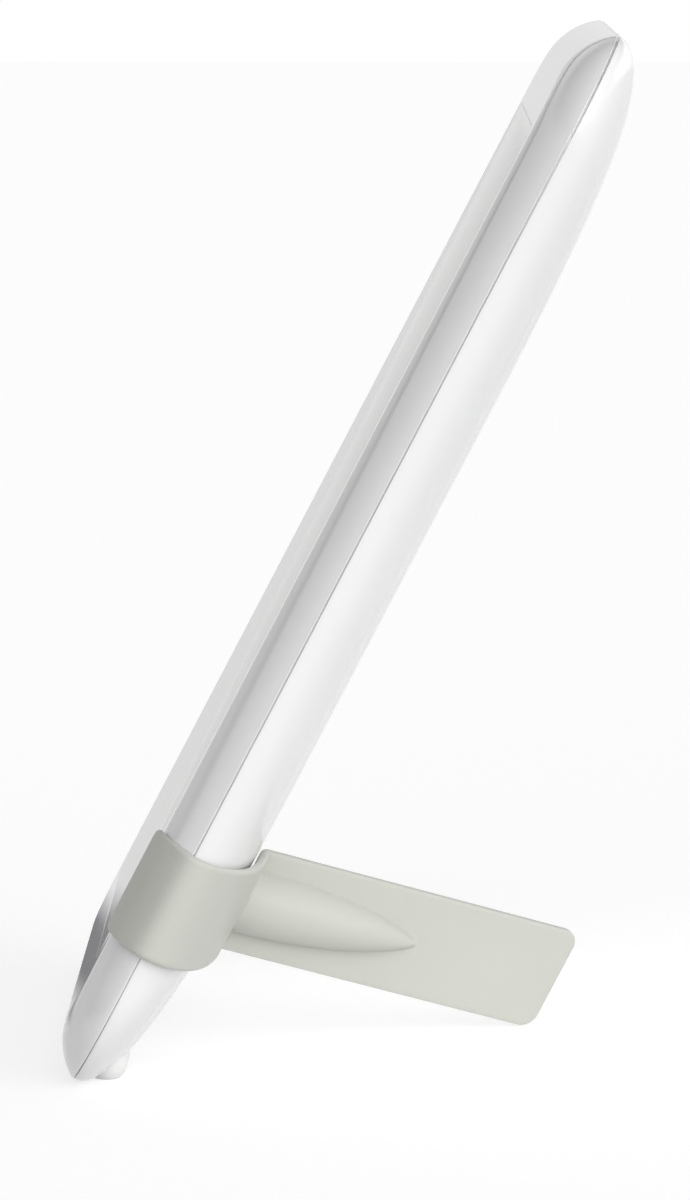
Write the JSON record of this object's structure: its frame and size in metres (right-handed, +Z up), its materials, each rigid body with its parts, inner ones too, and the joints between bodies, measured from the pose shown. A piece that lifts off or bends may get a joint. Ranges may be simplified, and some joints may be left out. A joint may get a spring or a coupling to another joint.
{
  "type": "light therapy lamp",
  "caption": "Slim tablet-shaped light therapy lamp that leans back on a clip-on side stand with a flat leg; opal screen in front, button and power inlet behind.",
  "frame": {"origin": "on the table, under the middle of the whole lamp", "axes": "+X across the panel towards the side that the stand clips on, +Y to the back, away from the screen, +Z up"},
  "size_m": [0.1574, 0.1138, 0.209],
  "materials": {
    "white_shell": "glossy white moulded plastic",
    "opal_screen": "opal acrylic, satin face",
    "foam": "closed-cell foam",
    "film": "white film",
    "clear_acrylic": "polished clear acrylic",
    "frame_plastic": "moulded white plastic",
    "aluminium_plate": "stamped sheet",
    "white_board": "white solder mask",
    "led_package": "phosphor under clear resin",
    "screw_steel": "zinc plated",
    "brass": "turned",
    "green_board": "green solder mask",
    "black_package": "moulded",
    "ferrite": "sintered",
    "capacitor_can": "drawn can",
    "grey_button": "moulded, satin",
    "wire_insulation": "soft insulation",
    "foot_rubber": "white soft rubber",
    "stand_plastic": "moulded, fine satin"
  },
  "bodies": {
    "panel": {"front_frame": "white_shell", "rear_shell": "white_shell", "diffuser": "opal_screen", "diffuser_gasket": "foam", "diffusing_film": "film", "light_guide": "clear_acrylic", "reflector_sheet": "film", "optics_frame": "frame_plastic", "back_plate": "aluminium_plate", "led_strip_left": "white_board", "led_strip_right": "white_board", "leds_left": "led_package", "leds_right": "led_package", "plate_screws": "screw_steel", "board_standoffs": "brass", "driver_board": "green_board", "board_screws": "screw_steel", "driver_chips": "black_package", "inductor": "ferrite", "capacitors": "capacitor_can", "dc_inlet": "black_package", "inlet_pin": "brass", "tact_switch": "black_package", "wire_sockets": "frame_plastic", "led_wires": "wire_insulation", "case_screws": "screw_steel", "foot_left": "foot_rubber", "foot_right": "foot_rubber"},
    "button": {"power_button": "grey_button", "switch_plunger": "black_package"},
    "stand": {"stand": "stand_plastic"}
  },
  "joints": [
    {"name": "button_press", "type": "slide", "parent": "panel", "child": "button", "axis": [0, -0.887, 0.4617], "range_m": [0, 0.0006], "stiffness_N_per_m": 2500},
    {"name": "stand_pull", "type": "slide", "parent": "panel", "child": "stand", "axis": [1, 0, 0], "range_m": [0, 0.035]}
  ]
}
